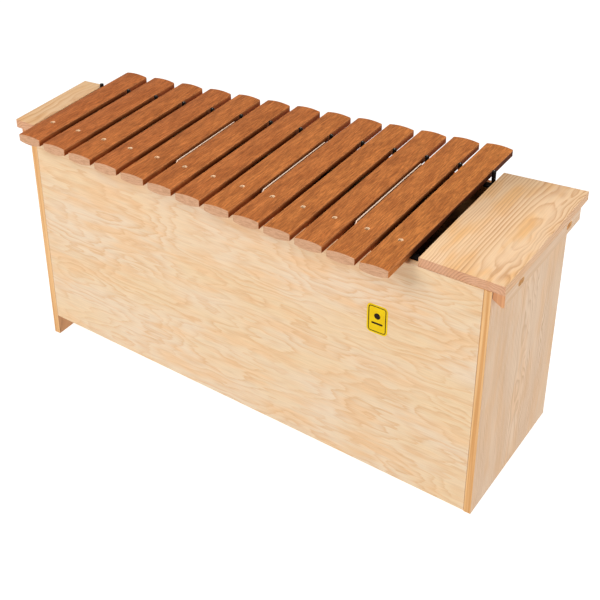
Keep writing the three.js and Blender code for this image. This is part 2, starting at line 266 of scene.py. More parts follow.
# Surface colours, as 0-255 display values: two tones, or light, pale, warm and late wood.
PINE_LIGHT = (232, 207, 177)
PINE_WARM = (234, 193, 147)
STRIP_LIGHT = (236, 188, 131)
VENEER_TONES = (PINE_LIGHT, (233, 203, 163), PINE_WARM, (220, 174, 126))
END_PANEL_TONES = ((228, 198, 167), (226, 192, 157), (227, 185, 141), (194, 150, 108))
# Painted shade: the end panels' inner faces are darker than their outer faces, since less light gets inside
# the box.
END_INNER_PAINTED_SHADE_TONES = ((200, 150, 106), (192, 142, 98), (192, 134, 84), (164, 112, 70))
# Painted shade: the inner faces of the box are dark, since little light gets inside it.
INNER_PAINTED_SHADE_TONES = ((170, 124, 82), (162, 114, 74), (158, 106, 64), (128, 86, 52))
COVER_TONES = {
    "treble": ((238, 198, 154), (236, 194, 146), (236, 182, 124), (208, 152, 100)),
    "bass": ((252, 214, 172), (249, 210, 164), (250, 192, 124), (214, 157, 107)),
}
# Painted shade: the covers' long sides are darker copies of the top's tones.
COVER_SIDE_SHADE_TONES = ((228, 184, 142), (225, 180, 136), (224, 172, 120), (196, 144, 98))
COVER_END_TONES = ((221, 171, 134), (216, 165, 128), (216, 161, 118), (182, 124, 92))
UPRIGHT_EDGE_TONES = (STRIP_LIGHT, (215, 156, 94))
LEVEL_EDGE_TONES = (PINE_LIGHT, STRIP_LIGHT)
PARTITION_EDGE_TONES = ((255, 230, 206), (250, 212, 182))
CLEAT_TONES = ((226, 193, 161), (218, 180, 142))
CLEAT_END_TONES = ((221, 160, 112), (200, 136, 92))
# Painted light: the screw slots' walls and floor are brighter than the cleat, as if lit inside the recess.
SLOT_WALL_PAINTED_LIGHT_TONES = ((252, 222, 178), (246, 208, 156))
SLOT_FLOOR_PAINTED_LIGHT_TONES = ((248, 212, 166), (236, 192, 140))
RAIL_TONES = (PINE_WARM, STRIP_LIGHT)
RAIL_END_TONES = ((231, 184, 148), (201, 143, 108))
BAR_REDDISH = (187, 106, 57)
BAR_ORANGE = (208, 129, 63)
BAR_DARK = (146, 76, 34)
BAR_PORE = (96, 44, 20)
# Painted shade, with the deep colour of light bounced between bars, for the lower sides of the bars.
BAR_SHADED = (130, 54, 6)
# Painted shadow of the bass cover on the last bar's side.
BAR_COVER_SHADOW = (84, 38, 12)
# Edge wear together with a painted highlight, near the bars' top edges.
BAR_WORN_HIGHLIGHT = (222, 150, 96)
RAW_LIGHT = (214, 167, 132)
RAW_DARK = (194, 147, 112)
RAW_PORE = (160, 108, 74)
RUBBER_TONES = ((13, 9, 7), (24, 18, 15))
SLEEVE_TONES = ((6, 4, 3), (16, 12, 10))
STEEL_TONES = ((190, 186, 178), (140, 134, 124))
PLATED_TONES = ((226, 178, 112), (196, 146, 84))
# Pale raw drilled wood, made lighter still as painted light on the hole's shaded walls.
DRILLED_PAINTED_LIGHT_TONES = ((255, 230, 196), (254, 214, 172))
LABEL_TONES = ((236, 202, 8), (226, 184, 6))
INK_TONES = ((26, 14, 8), (46, 28, 16))
FLOOR_TONES = ((140, 140, 140), (132, 132, 132))


def mix(a, b, t):
    """The value t of the way from a to b."""
    return a + (b - a) * t


def linear(colour):
    """A 0-255 display colour as linear RGBA."""
    shares = [c / 255 for c in colour]
    return [s / 12.92 if s <= 0.04045 else ((s + 0.055) / 1.055) ** 2.4 for s in shares] + [1.0]


def numbered(name, number):
    """The CAD name of one of a row of equal pieces."""
    return f"{name}_{number:02d}"


def centre_of(node):
    """The middle of a CAD node's box."""
    low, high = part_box(node)
    return (Vector(low) + Vector(high)) / 2


# Solid work: every helper takes or gives a bmesh.


def bare_copy(node):
    """A CAD node's solid, with its flat faces whole again."""
    solid = bmesh.new()
    solid.from_mesh(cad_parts[node].data)
    bmesh.ops.remove_doubles(solid, verts=solid.verts, dist=WELD)
    bmesh.ops.dissolve_limit(solid, angle_limit=FLAT_ANGLE, verts=solid.verts, edges=solid.edges)
    return solid


def loft(rings, closed=False):
    """A skin through rings of points; it is capped at both ends, or joined end to end when closed."""
    solid = bmesh.new()
    rows = [[solid.verts.new(point) for point in ring] for ring in rings]
    count = len(rows[0])
    pairs = list(zip(rows, rows[1:] + rows[:1])) if closed else list(zip(rows, rows[1:]))
    for near, far in pairs:
        for a in range(count):
            b = (a + 1) % count
            solid.faces.new((near[a], near[b], far[b], far[a]))
    if not closed:
        solid.faces.new(rows[0])
        solid.faces.new(rows[-1])
    bmesh.ops.recalc_face_normals(solid, faces=solid.faces)
    return solid


def prism(outline, travel):
    """A flat outline moved along travel."""
    start = [Vector(point) for point in outline]
    return loft([start, [point + Vector(travel) for point in start]])


def turned(profile, sides=ROUND_SIDES):
    """A profile of (radius, height, slot) points turned about Z. A radius of 0 ends it on the axis."""
    solid = bmesh.new()
    rows = []
    for radius, height, _ in profile:
        if radius == 0:
            rows.append([solid.verts.new((0, 0, height))])
            continue
        angles = [2 * math.pi * i / sides for i in range(sides)]
        rows.append([solid.verts.new((radius * math.cos(a), radius * math.sin(a), height)) for a in angles])
    for (near, far), (_, _, slot) in zip(zip(rows, rows[1:]), profile[1:]):
        for a in range(sides):
            b = (a + 1) % sides
            corners = [near[a % len(near)], near[b % len(near)], far[b % len(far)], far[a % len(far)]]
            face = solid.faces.new(list(dict.fromkeys(corners)))
            face.material_index = slot
    bmesh.ops.recalc_face_normals(solid, faces=solid.faces)
    return solid


def arc(centre, radius, start, end, steps):
    """Profile points in slot 0, from angle start to angle end in degrees from the horizontal."""
    angles = [math.radians(mix(start, end, i / steps)) for i in range(steps + 1)]
    return [(centre[0] + radius * math.cos(a), centre[1] + radius * math.sin(a), 0) for a in angles]


def sharp_edges(solid, chosen=None):
    """The solid's real edges, without the seams of its flat and curved faces."""
    edges = [e for e in solid.edges if e.is_manifold and e.calc_face_angle(0) > EDGE_ANGLE]
    return [e for e in edges if chosen is None or chosen(e)]


def round_edges(solid, width, segments=2, chosen=None):
    """Rounds the solid's sharp edges over a width."""
    bmesh.ops.bevel(solid, geom=sharp_edges(solid, chosen), offset=width, segments=segments,
                    profile=0.5, affect="EDGES", clamp_overlap=True)


def is_long(edge):
    """True for a board's own edges, and not for the short sides of a round hole."""
    return edge.calc_length() > SHORT_EDGE


def middle_of(edge):
    """The middle point of an edge."""
    return (edge.verts[0].co + edge.verts[1].co) / 2


def paint(solid, slot, chosen):
    """Gives the chosen faces a material slot."""
    solid.normal_update()
    for face in solid.faces:
        if chosen(face):
            face.material_index = slot


def add_object(name, solid):
    """Links a bmesh into the scene as an object."""
    mesh = bpy.data.meshes.new(name)
    solid.to_mesh(mesh)
    solid.free()
    item = bpy.data.objects.new(name, mesh)
    bpy.context.scene.collection.objects.link(item)
    return item


def carved(solid, cutters):
    """The solid with every cutter taken away from it."""
    body = add_object("blank", solid)
    tools = [add_object("cutter", cutter) for cutter in cutters]
    for tool in tools:
        cut = body.modifiers.new("cut", "BOOLEAN")
        cut.object = tool
        cut.solver = "EXACT"
    finished = body.evaluated_get(bpy.context.evaluated_depsgraph_get())
    result = bmesh.new()
    result.from_mesh(finished.to_mesh())
    for item in [body, *tools]:
        mesh = item.data
        bpy.data.objects.remove(item)
        bpy.data.meshes.remove(mesh)
    return result


def add_piece(name, solid, materials, stands_for=(), body="root"):
    """Makes a piece of the instrument that rides on a CAD body and stands for CAD nodes."""
    item = add_object(name, solid)
    for material in materials:
        item.data.materials.append(material)
    item.data.polygons.foreach_set("use_smooth", [True] * len(item.data.polygons))
    item.data.set_sharp_from_angle(angle=SHARP_ANGLE)
    smoothing = item.modifiers.new("flat_faces_stay_flat", "WEIGHTED_NORMAL")
    smoothing.keep_sharp = True
    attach(item, body)
    if stands_for:
        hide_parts(*stands_for)
    return item


# Materials.


class Graph:
    """Short calls for building the nodes of one material."""

    def __init__(self, name):
        self.material = bpy.data.materials.new(name)
        self.material.use_nodes = True
        self.nodes = self.material.node_tree.nodes
        self.links = self.material.node_tree.links
        self.shader = self.nodes["Principled BSDF"]
        self.place = self.nodes.new("ShaderNodeTexCoord").outputs["Object"]

    def set(self, socket, value):
        """Links value to the socket if it is an output, and otherwise types it in."""
        if isinstance(value, bpy.types.NodeSocket):
            self.links.new(value, socket)
        else:
            socket.default_value = value

    def math(self, operation, a, b=0.0):
        node = self.nodes.new("ShaderNodeMath")
        node.operation = operation
        self.set(node.inputs[0], a)
        self.set(node.inputs[1], b)
        return node.outputs[0]

    def range(self, value, low, high, new_low, new_high):
        """The value carried from one range to another, held at the ends."""
        node = self.nodes.new("ShaderNodeMapRange")
        for socket, number in zip(node.inputs, (value, low, high, new_low, new_high)):
            self.set(socket, number)
        return node.outputs[0]

    def share(self, value, low, high, most=1.0):
        """How far the value is on its way from low to high, times most."""
        return self.range(value, low, high, 0.0, most)

    def split(self, vector):
        node = self.nodes.new("ShaderNodeSeparateXYZ")
        self.set(node.inputs[0], vector)
        return dict(zip("XYZ", node.outputs))

    def join(self, x, y, z):
        node = self.nodes.new("ShaderNodeCombineXYZ")
        for socket, value in zip(node.inputs, (x, y, z)):
            self.set(socket, value)
        return node.outputs[0]

    def mapped(self, vector, scale, shift=(0, 0, 0)):
        """The vector times a scale for each axis, plus a shift."""
        node = self.nodes.new("ShaderNodeMapping")
        self.set(node.inputs["Vector"], vector)
        node.inputs["Scale"].default_value = scale
        node.inputs["Location"].default_value = shift
        return node.outputs[0]

    def noise(self, vector, detail=2.0, roughness=0.5):
        """Smooth noise with features about one unit across."""
        node = self.nodes.new("ShaderNodeTexNoise")
        self.set(node.inputs["Vector"], vector)
        node.inputs["Scale"].default_value = 1.0
        node.inputs["Detail"].default_value = detail
        node.inputs["Roughness"].default_value = roughness
        return node.outputs["Fac"]

    def ramp(self, value, stops):
        """A curve through (position, grey level) stops."""
        node = self.nodes.new("ShaderNodeValToRGB")
        self.set(node.inputs[0], value)
        elements = node.color_ramp.elements
        while len(elements) < len(stops):
            elements.new(0.5)
        for element, (position, level) in zip(elements, stops):
            element.position = position
            element.color = (level, level, level, 1)
        return node.outputs["Color"]

    def blend(self, share, a, b, mode="MIX"):
        """Colour a with a share of colour b."""
        node = self.nodes.new("ShaderNodeMix")
        node.data_type = "RGBA"
        node.blend_type = mode
        for name, value in (("Factor_Float", share), ("A_Color", a), ("B_Color", b)):
            socket = next(s for s in node.inputs if s.identifier == name)
            self.set(socket, value)
        return next(s for s in node.outputs if s.identifier == "Result_Color")

    def roughness(self, texture, surface):
        """Roughness that follows a texture within the surface's own range."""
        return self.range(texture, *NOISE_SPREAD, *SURFACES[surface]["roughness"])

    def finish(self, colour, roughness, relief, surface):
        """Links colour, roughness and bump to the shader, and gives it the surface's gloss."""
        values = SURFACES[surface]
        self.shader.inputs["Specular IOR Level"].default_value = values["gloss"]
        self.set(self.shader.inputs["Base Color"], colour)
        self.set(self.shader.inputs["Roughness"], roughness)
        bump = self.nodes.new("ShaderNodeBump")
        bump.inputs["Strength"].default_value = values["bump"]
        bump.inputs["Distance"].default_value = values["depth"]
        self.set(bump.inputs["Height"], relief)
        self.links.new(bump.outputs[0], self.shader.inputs["Normal"])
        return self.material


def grain_space(graph, along, across):
    """Position as (along the grain, across it, through the board)."""
    place = graph.split(graph.place)
    through = next(axis for axis in "XYZ" if axis not in (along, across))
    return graph.join(place[along], place[across], place[through])


def grain_noise(graph, grain, mark, seed, detail=2.0):
    """Noise in marks of this length with the grain and this width across it."""
    length, width = mark
    scale = (1 / length, 1 / width, 1 / width)
    shift = (seed, seed * 2.0, seed * 3.0)
    return graph.noise(graph.mapped(grain, scale, shift), detail, NOISE_ROUGHNESS)


def tinted(graph, colour, value, bright, dark):
    """The colour, brightened where the value is low and darkened where it is high."""
    factor = graph.range(value, *TINT_SPREAD, bright, dark)
    return graph.blend(1.0, colour, graph.join(factor, factor, factor), "MULTIPLY")


def growth_rings(graph, height):
    """Late wood: each ring darkens slowly and ends at once."""
    return graph.ramp(graph.math("FRACT", height), RING_PROFILE)


def feathering(graph, grain, seed, size):
    """The small tongues along the edge of a ring, in shares of a ring."""
    return graph.math("MULTIPLY", grain_noise(graph, grain, RING_FEATHER, seed, PLAIN_DETAIL), size)


def pine(graph, tones, rings, grain, seed, ring_share):
    """Colours pine from its rings, its fibres, warm patches and slow changes of tone."""
    light, pale, warm, late = [linear(tone) for tone in tones]
    slow = grain_noise(graph, grain, SLOW_TONE, seed)
    patches = grain_noise(graph, grain, WARM_PATCH, seed + 2)
    fading = grain_noise(graph, grain, RING_FADING, seed + 4)
    fine = grain_noise(graph, grain, PINE_FIBRE, seed + 6, FINE_DETAIL)
    ground = graph.blend(graph.share(slow, *SLOW_TONE_STARTS), light, pale)
    patched = graph.blend(graph.share(patches, *WARM_PATCH_STARTS, WARM_SHARE), ground, warm)
    strength = graph.range(fading, *RING_FADING_STARTS, FAINTEST_RING * ring_share, ring_share)
    ringed = graph.blend(graph.math("MULTIPLY", rings, strength), patched, late)
    colour = tinted(graph, ringed, fine, *PINE_TINT)
    relief = graph.math("SUBTRACT", fine, graph.math("MULTIPLY", rings, RING_RELIEF))
    return graph.finish(colour, graph.roughness(fine, "pine"), relief, "pine")


def veneer(part, along, across, tones):
    """Rotary-cut pine veneer: ring contours in islands and long waves with feathered edges."""
    seed = GRAIN_SEEDS[part]
    graph = Graph(f"pine_{part}")
    grain = grain_space(graph, along, across)
    hills = grain_noise(graph, grain, VENEER_HILL, seed, PLAIN_DETAIL)
    knolls = grain_noise(graph, grain, VENEER_KNOLL, seed + 1, KNOLL_DETAIL)
    rise = graph.math("MULTIPLY", hills, VENEER_HILL_RINGS)
    rise = graph.math("ADD", rise, graph.math("MULTIPLY", knolls, VENEER_KNOLL_RINGS))
    rise = graph.math("ADD", rise, feathering(graph, grain, seed + 3, VENEER_FEATHER))
    return pine(graph, tones, growth_rings(graph, rise), grain, seed, VENEER_RING_SHARE)


def sawn_pine(name, along, across, pith, seed, tones):
    """Solid pine: rings round a pith at (across, through), a little crooked along the board."""
    graph = Graph(name)
    grain = grain_space(graph, along, across)
    axes = graph.split(grain)
    waves = grain_noise(graph, grain, LOG_BEND, seed)
    bend = graph.range(waves, *NOISE_SPREAD, -LOG_BEND_SIZE, LOG_BEND_SIZE)
    side = graph.math("ADD", graph.math("SUBTRACT", axes["Y"], pith[0]), bend)
    rise = graph.math("ADD", graph.math("SUBTRACT", axes["Z"], pith[1]), bend)
    squares = graph.math("ADD", graph.math("POWER", side, 2.0), graph.math("POWER", rise, 2.0))
    turns = graph.math("DIVIDE", graph.math("SQRT", squares), RING_SPACING)
    turns = graph.math("ADD", turns, feathering(graph, grain, seed + 3, SAWN_FEATHER))
    away = graph.math("ABSOLUTE", side)
    clearness = graph.range(away, *RING_CLEARNESS["distances"], *RING_CLEARNESS["levels"])
    rings = graph.math("MULTIPLY", growth_rings(graph, turns), clearness)
    return pine(graph, tones, rings, grain, seed, 1.0)


def strip_pine(part, along, across, tones):
    """The narrow face of a board: long streaks of edge grain."""
    seed = GRAIN_SEEDS[part]
    light, dark = [linear(tone) for tone in tones]
    graph = Graph(f"pine_{part}")
    grain = grain_space(graph, along, across)
    bands = grain_noise(graph, grain, STRIP_BAND, seed)
    fine = grain_noise(graph, grain, STRIP_FIBRE, seed + 1, FINE_DETAIL)
    ground = graph.blend(graph.share(bands, *STRIP_BAND_STARTS), light, dark)
    colour = tinted(graph, ground, fine, *STRIP_TINT)
    return graph.finish(colour, graph.roughness(fine, "strip"), fine, "strip")


def bar_tone(number):
    """The ground colour of one bar: redder in the treble, more orange in the bass."""
    start, end = BAR_TONE_ENDS
    share = mix(start, end, (number - 1) / (BAR_COUNT - 1)) + random.uniform(*BAR_TONE_CHANCE)
    return linear([mix(a, b, share) for a, b in zip(BAR_REDDISH, BAR_ORANGE)])


def side_shade(graph, place, number, depth):
    """How much painted shade a bar's side gets here, and the colour of that painted shade.

    The next bar would shade the lower side, so shade is painted there. The last bar has the bass cover
    beside it instead;
    a painted shadow of the cover starts behind the bar's free end and darkens nearly the whole side.
    """
    if number < BAR_COUNT:
        return graph.share(depth, *SHADE_DEPTHS, BAR_SIDE_SHADE), BAR_SHADED
    cover_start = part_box("bass_cover")[0][1]
    ends = (cover_start - COVER_SHADOW_REACH, cover_start + COVER_SHADOW_REACH)
    # Painted shadow of the bass cover: faint at the bar's free end, full beside the cover.
    cover_shadow = graph.range(place["Y"], *ends, FREE_END_SHADE, 1.0)
    return graph.math("MULTIPLY", graph.share(depth, *COVER_SHADOW_DEPTHS), cover_shadow), BAR_COVER_SHADOW


def bar_wood(number, middle_x, half_width, top_z):
    """Oiled hardwood with short fine streaks, with painted shade low on the sides, and edge wear with a
    painted highlight on the edges.
    """
    graph = Graph(numbered("bar_wood", number))
    grain = grain_space(graph, "Y", "X")
    place = graph.split(graph.place)
    seed = number * BAR_SEED_STEP
    clouds = grain_noise(graph, grain, BAR_CLOUD, seed)
    streaks = grain_noise(graph, grain, BAR_STREAK, seed + 1)
    fine = grain_noise(graph, grain, BAR_FIBRE, seed + 2, FINE_DETAIL)
    pores = grain_noise(graph, grain, BAR_PORES, seed + 3, PLAIN_DETAIL)
    cloudy = graph.share(clouds, *BAR_CLOUD_STARTS, CLOUD_SHARE)
    ground = graph.blend(cloudy, bar_tone(number), linear(BAR_DARK))
    streaked = tinted(graph, ground, streaks, *BAR_STREAK_TINT)
    fibrous = tinted(graph, streaked, fine, *BAR_FIBRE_TINT)
    pored = graph.blend(graph.share(pores, *BAR_PORE_STARTS, PORE_SHARE), fibrous, linear(BAR_PORE))
    out = graph.math("ABSOLUTE", graph.math("SUBTRACT", place["X"], middle_x))
    at_side = graph.share(graph.math("SUBTRACT", half_width, out), *BAR_SIDE_BAND)
    depth = graph.math("SUBTRACT", top_z, place["Z"])
    # Painted shade on the lower sides, where the neighbouring bar would shade them.
    shade, dark = side_shade(graph, place, number, depth)
    shaded = graph.blend(graph.math("MULTIPLY", at_side, shade), pored, linear(dark))
    # Edge wear and a painted highlight along the top edges.
    wear_and_highlight = graph.share(depth, *WEAR_AND_HIGHLIGHT_DEPTHS, BAR_EDGE_WEAR_AND_HIGHLIGHT)
    worn_and_highlit = graph.blend(graph.math("MULTIPLY", at_side, wear_and_highlight), shaded, linear(BAR_WORN_HIGHLIGHT))
    side_roughness = graph.math("MULTIPLY", at_side, BAR_SIDE_ROUGHNESS)
    roughness = graph.math("MAXIMUM", graph.roughness(fine, "bar"), side_roughness)
    return graph.finish(worn_and_highlit, roughness, graph.math("SUBTRACT", fine, pores), "bar")


def raw_end_grain():
    """Sawn and unoiled hardwood: pale, with fine rings and open pores."""
    seed = GRAIN_SEEDS["raw_bar_end"]
    graph = Graph("raw_bar_end")
    grain = grain_space(graph, "X", "Z")
    arcs = grain_noise(graph, grain, RAW_ARC, seed)
    pores = grain_noise(graph, grain, RAW_PORES, seed + 1, PLAIN_DETAIL)
    ground = graph.blend(graph.share(arcs, *RAW_ARC_STARTS), linear(RAW_LIGHT), linear(RAW_DARK))
    colour = graph.blend(graph.share(pores, *RAW_PORE_STARTS, PORE_SHARE), ground, linear(RAW_PORE))
    return graph.finish(colour, graph.roughness(arcs, "raw"), pores, "raw")


def mottled(name, surface, tones):
    """Rubber, metal, paper or paint: two near tones in small soft mottles."""
    graph = Graph(name)
    scale = SURFACES[surface]["scale"]
    broad_scale = scale / BROAD_MOTTLE
    soft = graph.noise(graph.mapped(graph.place, (scale, scale, scale)), FINE_DETAIL, MOTTLE_ROUGHNESS)
    broad = graph.noise(graph.mapped(graph.place, (broad_scale, broad_scale, broad_scale)))
    share = graph.math("MULTIPLY", graph.math("ADD", soft, broad), 0.5)
    colour = graph.blend(graph.share(share, *MOTTLE_STARTS), *[linear(tone) for tone in tones])
    graph.shader.inputs["Metallic"].default_value = METALLIC.get(surface, 0.0)
    return graph.finish(colour, graph.roughness(soft, surface), soft, surface)


# The box resonator.


def faces_along(axis, least=BROAD_FACE):
    """A test for faces whose normal lies along an axis, 0 for X, 1 for Y and 2 for Z."""
    return lambda face: abs(face.normal[axis]) > least


def add_board(node, materials, outward, width=BOARD_EDGE):
    """A board with its own materials for the outer face, the edges and the inner face."""
    solid = bare_copy(node)
    round_edges(solid, width, chosen=is_long)
    paint(solid, 1, lambda face: abs(face.normal.dot(outward)) < BROAD_FACE)
    paint(solid, 2, lambda face: face.normal.dot(outward) < -BROAD_FACE)
    add_piece(node + "_board", solid, materials, [node])


def end_panel_pine(end, outward):
    """An end panel is cut from near the middle of a log, so its rings peak halfway across."""
    low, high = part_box(f"{end}_end_panel")
    outer = high[0] if outward > 0 else low[0]
    pith = ((low[1] + high[1]) / 2, outer - outward * END_PANEL_PITH_DEPTH)
    part = f"{end}_end_face"
    return sawn_pine(f"pine_{part}", "Z", "Y", pith, GRAIN_SEEDS[part], END_PANEL_TONES)


def add_long_boards():
    """The front and back panels and the floor board."""
    level_edge = strip_pine("level_edge", "X", "Y", LEVEL_EDGE_TONES)
    # The inner faces take darker tones as painted shade inside the box.
    inside = veneer("long_inside", "X", "Z", INNER_PAINTED_SHADE_TONES)
    front = veneer("front_face", "X", "Z", VENEER_TONES)
    back = veneer("back_face", "X", "Z", VENEER_TONES)
    floor = veneer("floor_face", "X", "Y", VENEER_TONES)
    add_board("front_panel", [front, level_edge, inside], Vector((0, -1, 0)))
    add_board("back_panel", [back, level_edge, inside], Vector((0, 1, 0)))
    add_board("floor_board", [floor, level_edge, inside], Vector((0, 0, -1)))


def add_end_panels():
    """The two panels that the instrument stands on."""
    edge = strip_pine("upright_edge", "Z", "X", UPRIGHT_EDGE_TONES)
    # The inner faces take darker tones as painted shade inside the box.
    inside = veneer("end_inside", "Z", "Y", END_INNER_PAINTED_SHADE_TONES)
    for end, outward in (("treble", -1), ("bass", 1)):
        face = end_panel_pine(end, outward)
        add_board(f"{end}_end_panel", [face, edge, inside], Vector((outward, 0, 0)))


def add_partitions():
    """The thin leaves between the chambers, with well-rounded edges."""
    # The partition faces stand inside the box and take its darker tones as painted shade.
    face = veneer("cross_inside", "Z", "Y", INNER_PAINTED_SHADE_TONES)
    edge = strip_pine("partition_edge", "Y", "X", PARTITION_EDGE_TONES)
    for number in (1, 2, 3):
        add_board(f"partition_{number}", [face, edge, face], Vector((1, 0, 0)), PARTITION_EDGE)


def cover_materials(end, low, high):
    """The top, the sawn ends and the long sides of one cover, all cut from the same log."""
    pith = (mix(low[0], high[0], COVER_PITH["x_share"]), high[2] - COVER_PITH["depth"])
    seed = GRAIN_SEEDS[f"{end}_cover"]
    # The long sides take darker tones as painted shade.
    faces = {"face": COVER_TONES[end], "end": COVER_END_TONES, "side": COVER_SIDE_SHADE_TONES}
    names = {part: f"pine_{end}_cover_{part}" for part in faces}
    return [sawn_pine(names[part], "Y", "X", pith, seed, tones) for part, tones in faces.items()]


def add_cover(end, bar_side):
    """A cover board; its long top edge beside the bars is softer than the others."""
    node = f"{end}_cover"
    low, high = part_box(node)
    bar_edge_x = high[0] if bar_side > 0 else low[0]

    def beside_bars(edge):
        point = middle_of(edge)
        on_top = abs(point.z - high[2]) < WELD
        return on_top and abs(point.x - bar_edge_x) < SHORT_EDGE and is_long(edge)

    solid = bare_copy(node)
    round_edges(solid, COVER_SOFT_EDGE, 4, beside_bars)
    round_edges(solid, COVER_EDGE, 2, is_long)
    paint(solid, 1, faces_along(1))
    paint(solid, 2, faces_along(0))
    add_piece(f"{node}_board", solid, cover_materials(end, low, high), [node])


# The grips.


def capsule(y, z, x_start, x_end):
    """A round-ended slot cutter that lies along X."""
    points = []
    for i in range(ROUND_SIDES):
        angle = 2 * math.pi * (i + 0.5) / ROUND_SIDES
        reach = SLOT_RADIUS * math.cos(angle) + math.copysign(SLOT_LENGTH / 2, math.cos(angle))
        points.append((x_start, y + reach, z + SLOT_RADIUS * math.sin(angle)))
    return prism(points, (x_end - x_start, 0, 0))


def cleat_blank(low, high, inner, outer, outward):
    """The cleat's five-sided section, drawn out along Y."""
    outline = [
        (inner, low[1], high[2]),
        (inner, low[1], high[2] - CLEAT_INNER_DROP),
        (outer - outward * CLEAT_LIP, low[1], low[2]),
        (outer, low[1], low[2] + CLEAT_LIP_RISE),
        (outer, low[1], high[2]),
    ]
    solid = prism(outline, (0, high[1] - low[1], 0))
    round_edges(solid, COVER_EDGE)
    return solid


def add_cleat(end, outward, materials):
    """A grip strip with two screw slots in its outer face."""
    node = f"{end}_grip_cleat"
    low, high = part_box(node)
    inner, outer = (low[0], high[0]) if outward > 0 else (high[0], low[0])
    screws = [centre_of(f"{end}_cleat_screw_{number}") for number in (1, 2)]
    floor_x = outer - outward * SLOT_DEPTH
    cutters = [capsule(at.y, at.z, floor_x, outer + outward * MM) for at in screws]
    solid = carved(cleat_blank(low, high, inner, outer, outward), cutters)

    def in_slot(face):
        middle = face.calc_center_median()
        near = any((middle - at).yz.length < SLOT_LENGTH / 2 + SLOT_RADIUS for at in screws)
        return near and outward * (outer - middle.x) > WELD and abs(middle.x - inner) > WELD

    paint(solid, 1, faces_along(1))
    # The slot's walls and floor take brighter tones, as painted light in the recess.
    paint(solid, 2, in_slot)
    paint(solid, 3, lambda face: in_slot(face) and abs(face.normal.x) > BROAD_FACE)
    add_piece(f"{node}_strip", solid, materials, [node])


def screw_profile(length, head_radius):
    """A pointed thread, a shank and a flat head with a rounded edge."""
    head_start = length - SCREW_HEAD_HEIGHT
    root = SCREW_SHANK_RADIUS - SCREW_THREAD_DEPTH
    pitch = head_start / (SCREW_THREADS + 1)
    profile = [(0, 0, 0)]
    for turn in range(SCREW_THREADS):
        profile.append((root, pitch * (turn + SCREW_THREAD_LEAN), 0))
        profile.append((SCREW_SHANK_RADIUS, pitch * (turn + 1), 0))
    rim = SCREW_HEAD_HEIGHT / 3
    head = [(SCREW_SHANK_RADIUS, head_start, 0), (head_radius, head_start, 0)]
    corner = arc((head_radius - rim, length - rim), rim, 0, 90, 4)
    return [*profile, *head, *corner, (0, length, 0)]


def add_screw(node, outward, material):
    """One cleat screw with a straight drive slot, lying along X."""
    low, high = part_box(node)
    length = high[0] - low[0]
    radius = (high[2] - low[2]) / 2
    solid = turned(screw_profile(length, radius))
    half = SCREW_DRIVE["width"] / 2
    reach = radius + MM
    top = length - SCREW_DRIVE["depth"]
    blade = [(-half, -reach, top), (half, -reach, top), (half, reach, top), (-half, reach, top)]
    solid = carved(solid, [prism(blade, (0, 0, length))])
    tip = Vector((low[0] if outward > 0 else high[0], (low[1] + high[1]) / 2, (low[2] + high[2]) / 2))
    turn = Matrix.Translation(tip) @ Matrix.Rotation(outward * math.pi / 2, 4, "Y")
    bmesh.ops.transform(solid, matrix=turn, verts=solid.verts)
    add_piece(f"{node}_steel", solid, [material], [node])


def add_grips(plated):
    """Both cleats and their screws."""
    materials = [
        strip_pine("cleat_face", "Y", "Z", CLEAT_TONES),
        strip_pine("cleat_end", "Z", "X", CLEAT_END_TONES),
        # The slot materials are brighter than the cleat's own pine, as painted light.
        strip_pine("slot_wall", "Y", "X", SLOT_WALL_PAINTED_LIGHT_TONES),
        strip_pine("slot_floor", "Y", "Z", SLOT_FLOOR_PAINTED_LIGHT_TONES),
    ]
    for side, outward in (("treble", -1), ("bass", 1)):
        add_cleat(side, outward, materials)
        for number in (1, 2):
            add_screw(f"{side}_cleat_screw_{number}", outward, plated)


# Rails, cushions, pins and pegs.


def add_rails():
    """The two rails that hold the pins and the pegs."""
    face = strip_pine("rail_face", "X", "Z", RAIL_TONES)
    end = strip_pine("rail_end", "Z", "Y", RAIL_END_TONES)
    for node in ("pin_rail", "peg_rail"):
        solid = bare_copy(node)
        round_edges(solid, BOARD_EDGE, chosen=is_long)
        paint(solid, 1, faces_along(0))
        add_piece(f"{node}_strip", solid, [face, end], [node])


def add_cushions(rubber):
    """The strips under the bars, with rounded long edges on top."""
    for node in ("front_cushion", "back_cushion"):
        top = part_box(node)[1][2]
        solid = bare_copy(node)

        def is_top(edge):
            return is_long(edge) and abs(middle_of(edge).z - top) < WELD

        round_edges(solid, CUSHION_EDGE, 3, is_top)
        add_piece(f"{node}_strip", solid, [rubber], [node])


def add_pin(number, steel):
    """A steel pin with a domed top and a shallow groove below it."""
    node = numbered("pin", number)
    low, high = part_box(node)
    radius = (high[0] - low[0]) / 2
    shoulder = high[2] - radius
    half = PIN_GROOVE["half_width"]
    groove = shoulder - half
    profile = [(0, low[2], 0), (radius, low[2], 0), (radius, groove - half, 0)]
    profile += [(radius - PIN_GROOVE["depth"], groove, 0), (radius, groove + half, 0)]
    profile += arc((0, shoulder), radius, 0, 80, 6)
    solid = turned([*profile, (0, high[2], 0)])
    place_upright(solid, node)
    add_piece(f"{node}_steel", solid, [steel], [node])


def place_upright(solid, node):
    """Moves a turned solid over the middle of its CAD node, in plan."""
    middle = centre_of(node)
    bmesh.ops.translate(solid, vec=(middle.x, middle.y, 0), verts=solid.verts)


